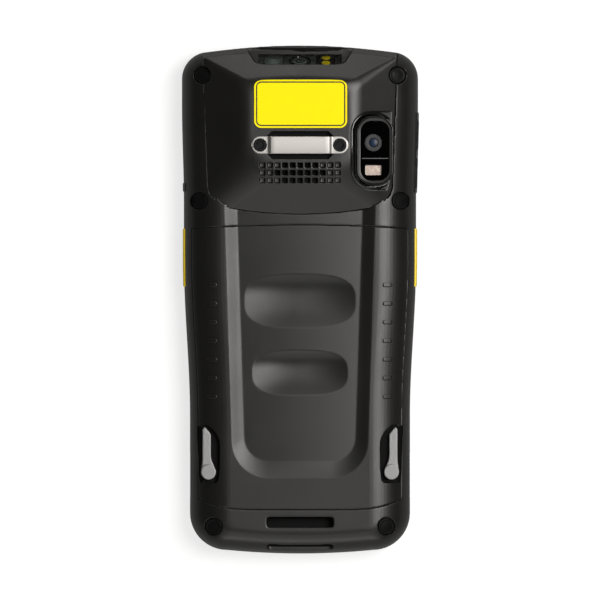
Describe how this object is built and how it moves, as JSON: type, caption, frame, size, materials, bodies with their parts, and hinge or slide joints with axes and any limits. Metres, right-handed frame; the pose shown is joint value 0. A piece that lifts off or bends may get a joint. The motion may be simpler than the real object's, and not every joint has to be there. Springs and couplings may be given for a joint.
{
  "type": "portable barcode data terminal",
  "caption": "Rugged hand-held barcode terminal with a raised scan hood, a camera, side triggers, a keypad and a latched battery cover with finger dimples.",
  "frame": {"origin": "on the plane of the front rim, under the middle of the terminal, which lies on its face", "axes": "+X to the right seen from the back, +Y to the scanning end, +Z out of the back"},
  "size_m": [0.0738, 0.1574, 0.0265],
  "materials": {
    "housing_plastic": "fine-grained charcoal moulding",
    "black_plastic": "satin black moulding",
    "gloss_black": "polished black",
    "black_rubber": "matt",
    "key_grey": "matt silicone",
    "trigger_yellow": "satin yellow moulding",
    "led_yellow": "clear yellow",
    "flash_cream": "ribbed clear lens over phosphor",
    "screen_glass": "polished, dark",
    "scan_glass": "polished, smoke tint",
    "lens_glass": "coated optical glass",
    "satin_steel": "satin",
    "black_steel": "black oxide",
    "circuit_board": "solder mask",
    "contact_gold": "gold-plated contacts in a moulding",
    "battery_wrap": "plain shrink wrap"
  },
  "bodies": {
    "housing": {"front_housing": "housing_plastic", "rear_housing": "housing_plastic", "scan_hood": "housing_plastic", "display_glass": "screen_glass", "display_module": "black_plastic", "main_board": "circuit_board", "keypad_membrane": "black_rubber", "scan_window": "scan_glass", "scan_engine": "black_plastic", "scan_lens": "lens_glass", "aiming_lens": "lens_glass", "scan_leds": "led_yellow", "camera_bezel": "gloss_black", "camera_window": "screen_glass", "camera_lens": "lens_glass", "flash_lens": "flash_cream", "strap_bar": "satin_steel", "strap_screw_left": "black_steel", "strap_screw_right": "black_steel", "speaker": "black_plastic", "battery_pack": "battery_wrap", "battery_contacts": "contact_gold", "battery_seal": "black_rubber", "dock_connector": "contact_gold", "screw_plug_head_left": "black_rubber", "screw_plug_head_right": "black_rubber", "screw_plug_waist_left": "black_rubber", "screw_plug_waist_right": "black_rubber", "screw_plug_tail_left": "black_rubber", "screw_plug_tail_right": "black_rubber", "housing_screw_head_left": "black_steel", "housing_screw_head_right": "black_steel", "housing_screw_waist_left": "black_steel", "housing_screw_waist_right": "black_steel", "housing_screw_tail_left": "black_steel", "housing_screw_tail_right": "black_steel"},
    "battery_cover": {"battery_cover": "housing_plastic"},
    "latch_left": {"latch_left": "satin_steel"},
    "latch_right": {"latch_right": "satin_steel"},
    "trigger_left": {"trigger_left": "trigger_yellow"},
    "trigger_right": {"trigger_right": "trigger_yellow"},
    "volume_up": {"volume_up": "black_rubber"},
    "volume_down": {"volume_down": "black_rubber"},
    "key_menu": {"key_menu": "key_grey"},
    "key_back": {"key_back": "key_grey"},
    "key_scan": {"key_scan": "trigger_yellow"},
    "key_clear": {"key_clear": "key_grey"},
    "key_power": {"key_power": "key_grey"},
    "key_1": {"key_1": "key_grey"},
    "key_2": {"key_2": "key_grey"},
    "key_3": {"key_3": "key_grey"},
    "key_4": {"key_4": "key_grey"},
    "key_5": {"key_5": "key_grey"},
    "key_6": {"key_6": "key_grey"},
    "key_7": {"key_7": "key_grey"},
    "key_8": {"key_8": "key_grey"},
    "key_9": {"key_9": "key_grey"},
    "key_star": {"key_star": "key_grey"},
    "key_0": {"key_0": "key_grey"},
    "key_hash": {"key_hash": "key_grey"}
  },
  "joints": [
    {"name": "battery_cover_hinge", "type": "hinge", "parent": "housing", "child": "battery_cover", "pos_m": [0, 0.0231, 0.02], "axis": [-1, 0, 0], "range_deg": [0, 35]},
    {"name": "latch_left_pivot", "type": "hinge", "parent": "battery_cover", "child": "latch_left", "pos_m": [-0.0283, -0.0534, 0.0172], "axis": [0, 0, -1], "range_deg": [0, 6]},
    {"name": "latch_right_pivot", "type": "hinge", "parent": "battery_cover", "child": "latch_right", "pos_m": [0.0283, -0.0534, 0.0172], "axis": [0, 0, 1], "range_deg": [0, 6]},
    {"name": "trigger_left_press", "type": "slide", "parent": "housing", "child": "trigger_left", "axis": [1, 0, 0], "range_m": [0, 0.0008], "stiffness_N_per_m": 1500},
    {"name": "trigger_right_press", "type": "slide", "parent": "housing", "child": "trigger_right", "axis": [-1, 0, 0], "range_m": [0, 0.0008], "stiffness_N_per_m": 1500},
    {"name": "volume_up_press", "type": "slide", "parent": "housing", "child": "volume_up", "axis": [-1, 0, 0], "range_m": [0, 0.0005], "stiffness_N_per_m": 1500},
    {"name": "volume_down_press", "type": "slide", "parent": "housing", "child": "volume_down", "axis": [-1, 0, 0], "range_m": [0, 0.0005], "stiffness_N_per_m": 1500},
    {"name": "key_menu_press", "type": "slide", "parent": "housing", "child": "key_menu", "axis": [0, 0, 1], "range_m": [0, 0.0004], "stiffness_N_per_m": 1200},
    {"name": "key_back_press", "type": "slide", "parent": "housing", "child": "key_back", "axis": [0, 0, 1], "range_m": [0, 0.0004], "stiffness_N_per_m": 1200},
    {"name": "key_scan_press", "type": "slide", "parent": "housing", "child": "key_scan", "axis": [0, 0, 1], "range_m": [0, 0.0004], "stiffness_N_per_m": 1200},
    {"name": "key_clear_press", "type": "slide", "parent": "housing", "child": "key_clear", "axis": [0, 0, 1], "range_m": [0, 0.0004], "stiffness_N_per_m": 1200},
    {"name": "key_power_press", "type": "slide", "parent": "housing", "child": "key_power", "axis": [0, 0, 1], "range_m": [0, 0.0004], "stiffness_N_per_m": 1200},
    {"name": "key_1_press", "type": "slide", "parent": "housing", "child": "key_1", "axis": [0, 0, 1], "range_m": [0, 0.0004], "stiffness_N_per_m": 1200},
    {"name": "key_2_press", "type": "slide", "parent": "housing", "child": "key_2", "axis": [0, 0, 1], "range_m": [0, 0.0004], "stiffness_N_per_m": 1200},
    {"name": "key_3_press", "type": "slide", "parent": "housing", "child": "key_3", "axis": [0, 0, 1], "range_m": [0, 0.0004], "stiffness_N_per_m": 1200},
    {"name": "key_4_press", "type": "slide", "parent": "housing", "child": "key_4", "axis": [0, 0, 1], "range_m": [0, 0.0004], "stiffness_N_per_m": 1200},
    {"name": "key_5_press", "type": "slide", "parent": "housing", "child": "key_5", "axis": [0, 0, 1], "range_m": [0, 0.0004], "stiffness_N_per_m": 1200},
    {"name": "key_6_press", "type": "slide", "parent": "housing", "child": "key_6", "axis": [0, 0, 1], "range_m": [0, 0.0004], "stiffness_N_per_m": 1200},
    {"name": "key_7_press", "type": "slide", "parent": "housing", "child": "key_7", "axis": [0, 0, 1], "range_m": [0, 0.0004], "stiffness_N_per_m": 1200},
    {"name": "key_8_press", "type": "slide", "parent": "housing", "child": "key_8", "axis": [0, 0, 1], "range_m": [0, 0.0004], "stiffness_N_per_m": 1200},
    {"name": "key_9_press", "type": "slide", "parent": "housing", "child": "key_9", "axis": [0, 0, 1], "range_m": [0, 0.0004], "stiffness_N_per_m": 1200},
    {"name": "key_star_press", "type": "slide", "parent": "housing", "child": "key_star", "axis": [0, 0, 1], "range_m": [0, 0.0004], "stiffness_N_per_m": 1200},
    {"name": "key_0_press", "type": "slide", "parent": "housing", "child": "key_0", "axis": [0, 0, 1], "range_m": [0, 0.0004], "stiffness_N_per_m": 1200},
    {"name": "key_hash_press", "type": "slide", "parent": "housing", "child": "key_hash", "axis": [0, 0, 1], "range_m": [0, 0.0004], "stiffness_N_per_m": 1200}
  ]
}
